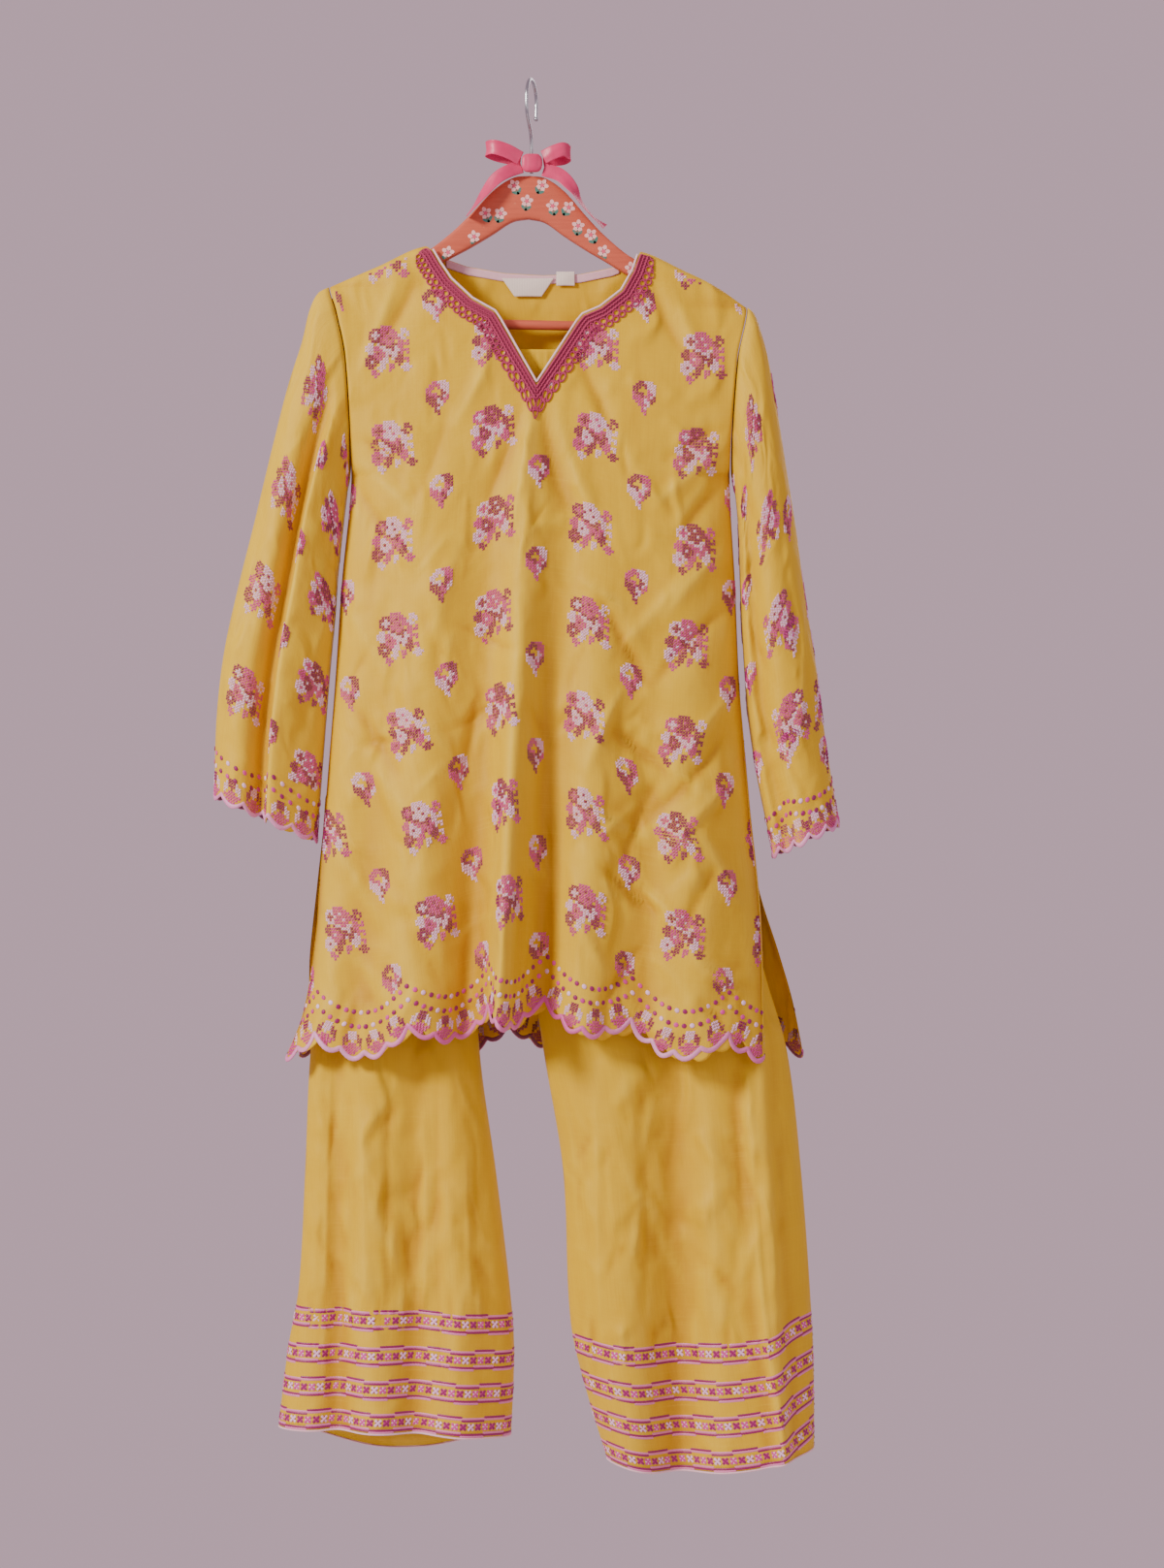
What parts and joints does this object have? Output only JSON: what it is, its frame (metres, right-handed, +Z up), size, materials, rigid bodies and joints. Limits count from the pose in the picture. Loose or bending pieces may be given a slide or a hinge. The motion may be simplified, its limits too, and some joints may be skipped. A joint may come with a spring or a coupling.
{
  "type": "salwar kameez suit on a wooden hanger",
  "caption": "Embroidered three-quarter-sleeve kurta with a slit neck and scalloped hems over wide straight trousers, both hung on a wooden hanger with a ribbon bow.",
  "frame": {"origin": "where the inside top of the hanger's hook bears on a rail", "axes": "+Z up, +X to the right of a viewer facing the front of the suit, -Y out of the front of the suit"},
  "size_m": [0.579, 0.164, 1.2909],
  "materials": {
    "cotton_silk": "golden yellow cotton silk, soft sheen",
    "lace": "rose crochet lace",
    "piping": "pale pink cotton cord and tape",
    "label": "cream woven ribbon",
    "painted_wood": "orange painted wood with small flower sprigs",
    "hook_steel": "polished steel wire",
    "satin": "pink satin ribbon",
    "thread": "stranded embroidery thread in three pinks"
  },
  "bodies": {
    "root": {"kurta_front": "cotton_silk", "kurta_back": "cotton_silk", "sleeve_left": "cotton_silk", "sleeve_right": "cotton_silk", "trouser_left_front": "cotton_silk", "trouser_left_back": "cotton_silk", "trouser_right_front": "cotton_silk", "trouser_right_back": "cotton_silk", "waistband_front": "cotton_silk", "waistband_back": "cotton_silk", "neck_lace": "lace", "neck_piping": "piping", "back_neck_tape": "piping", "hem_piping_left": "piping", "hem_piping_right": "piping", "neck_label": "label", "size_tab": "label", "hanging_loop_left": "label", "hanging_loop_right": "label", "hanger_body": "painted_wood", "hanger_bar": "painted_wood", "hook": "hook_steel", "bow_knot": "satin", "bow_loop_left": "satin", "bow_loop_right": "satin", "ribbon_tail_left": "satin", "ribbon_tail_right": "satin"}
  },
  "joints": []
}
